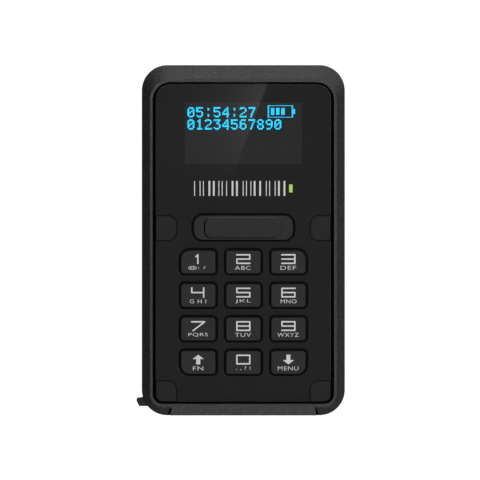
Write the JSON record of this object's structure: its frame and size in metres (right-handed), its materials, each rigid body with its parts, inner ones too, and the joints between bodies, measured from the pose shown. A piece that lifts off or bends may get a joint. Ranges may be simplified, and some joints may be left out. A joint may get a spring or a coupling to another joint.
{
  "type": "handheld code reader",
  "caption": "Pocket-size handheld code reader: flat chamfered case, inset front panel with small lit display, wide scan button and number keys, scan window at one end, strap eye.",
  "frame": {"origin": "middle of the rear face, on the surface the reader lies on", "axes": "+Z out of the front face with its keys, +Y toward the scan end, +X to the right as the keys are read"},
  "size_m": [0.0659, 0.1104, 0.0252],
  "materials": {
    "housing": "fine spark-eroded grain, satin",
    "panel": "smooth, glossy",
    "window": "clear, faintly smoked",
    "display": "dark glass with lit characters",
    "button": "satin",
    "key": "satin, white printed legends",
    "cover": "satin",
    "door": "fine grain",
    "seal_rubber": "matt",
    "silicone": "matt, translucent grey",
    "foam": "matt open-cell foam",
    "inner_plastic": "plain moulded",
    "chip": "matt moulded",
    "connector_white": "plain moulded",
    "board": "solder mask over copper",
    "can_steel": "tinned sheet",
    "steel": "dark zinc",
    "brass": "knurled",
    "flex": "amber polyimide",
    "wire": "smooth insulation",
    "battery_foil": "satin pouch",
    "scan_glass": "dark red, polished",
    "lens": "coated lens",
    "lamp": "clear lens over a yellow chip",
    "label": "blank silver film"
  },
  "bodies": {
    "housing": {"battery": "battery_foil", "battery_connector": "connector_white", "battery_lead": "wire", "battery_pad": "foam", "board_screws": "steel", "buzzer": "chip", "case_screws": "steel", "contact_domes": "steel", "corner_screw_cover_left": "cover", "corner_screw_cover_right": "cover", "display_flex": "flex", "display_frame": "inner_plastic", "display_module": "display", "display_window": "window", "engine_bracket": "can_steel", "engine_flex": "flex", "engine_lamps": "lamp", "engine_lens": "lens", "engine_screws": "steel", "flex_connectors": "inner_plastic", "front_housing": "housing", "front_panel": "panel", "housing_seal": "seal_rubber", "keypad_mat": "silicone", "main_board": "board", "panel_screws": "steel", "port_hinge_pin": "steel", "processor_shield": "can_steel", "radio_module": "can_steel", "rear_housing": "housing", "rear_label": "label", "scan_engine": "chip", "scan_window": "scan_glass", "scan_window_seal": "foam", "side_screw_cover_left": "cover", "side_screw_cover_right": "cover", "threaded_inserts": "brass", "usb_contacts": "chip", "usb_socket": "can_steel", "vibration_motor": "can_steel"},
    "key_1": {"key_1": "key"},
    "key_2": {"key_2": "key"},
    "key_3": {"key_3": "key"},
    "key_4": {"key_4": "key"},
    "key_5": {"key_5": "key"},
    "key_6": {"key_6": "key"},
    "key_7": {"key_7": "key"},
    "key_8": {"key_8": "key"},
    "key_9": {"key_9": "key"},
    "key_fn": {"key_fn": "key"},
    "key_0": {"key_0": "key"},
    "key_menu": {"key_menu": "key"},
    "scan_button": {"scan_button": "button"},
    "port_cover": {"port_cover": "door", "port_seal": "seal_rubber"}
  },
  "joints": [
    {"name": "key_1_press", "type": "slide", "parent": "housing", "child": "key_1", "axis": [0, 0, -1], "range_m": [0, 0.0005], "stiffness_N_per_m": 3000, "deforming": ["keypad_mat"]},
    {"name": "key_2_press", "type": "slide", "parent": "housing", "child": "key_2", "axis": [0, 0, -1], "range_m": [0, 0.0005], "stiffness_N_per_m": 3000, "deforming": ["keypad_mat"]},
    {"name": "key_3_press", "type": "slide", "parent": "housing", "child": "key_3", "axis": [0, 0, -1], "range_m": [0, 0.0005], "stiffness_N_per_m": 3000, "deforming": ["keypad_mat"]},
    {"name": "key_4_press", "type": "slide", "parent": "housing", "child": "key_4", "axis": [0, 0, -1], "range_m": [0, 0.0005], "stiffness_N_per_m": 3000, "deforming": ["keypad_mat"]},
    {"name": "key_5_press", "type": "slide", "parent": "housing", "child": "key_5", "axis": [0, 0, -1], "range_m": [0, 0.0005], "stiffness_N_per_m": 3000, "deforming": ["keypad_mat"]},
    {"name": "key_6_press", "type": "slide", "parent": "housing", "child": "key_6", "axis": [0, 0, -1], "range_m": [0, 0.0005], "stiffness_N_per_m": 3000, "deforming": ["keypad_mat"]},
    {"name": "key_7_press", "type": "slide", "parent": "housing", "child": "key_7", "axis": [0, 0, -1], "range_m": [0, 0.0005], "stiffness_N_per_m": 3000, "deforming": ["keypad_mat"]},
    {"name": "key_8_press", "type": "slide", "parent": "housing", "child": "key_8", "axis": [0, 0, -1], "range_m": [0, 0.0005], "stiffness_N_per_m": 3000, "deforming": ["keypad_mat"]},
    {"name": "key_9_press", "type": "slide", "parent": "housing", "child": "key_9", "axis": [0, 0, -1], "range_m": [0, 0.0005], "stiffness_N_per_m": 3000, "deforming": ["keypad_mat"]},
    {"name": "key_fn_press", "type": "slide", "parent": "housing", "child": "key_fn", "axis": [0, 0, -1], "range_m": [0, 0.0005], "stiffness_N_per_m": 3000, "deforming": ["keypad_mat"]},
    {"name": "key_0_press", "type": "slide", "parent": "housing", "child": "key_0", "axis": [0, 0, -1], "range_m": [0, 0.0005], "stiffness_N_per_m": 3000, "deforming": ["keypad_mat"]},
    {"name": "key_menu_press", "type": "slide", "parent": "housing", "child": "key_menu", "axis": [0, 0, -1], "range_m": [0, 0.0005], "stiffness_N_per_m": 3000, "deforming": ["keypad_mat"]},
    {"name": "scan_button_press", "type": "slide", "parent": "housing", "child": "scan_button", "axis": [0, 0, -1], "range_m": [0, 0.0006], "stiffness_N_per_m": 4000, "deforming": ["keypad_mat"]},
    {"name": "port_cover_hinge", "type": "hinge", "parent": "housing", "child": "port_cover", "pos_m": [0, -0.0545, 0.0141], "axis": [1, 0, 0], "range_deg": [0, 90]}
  ]
}
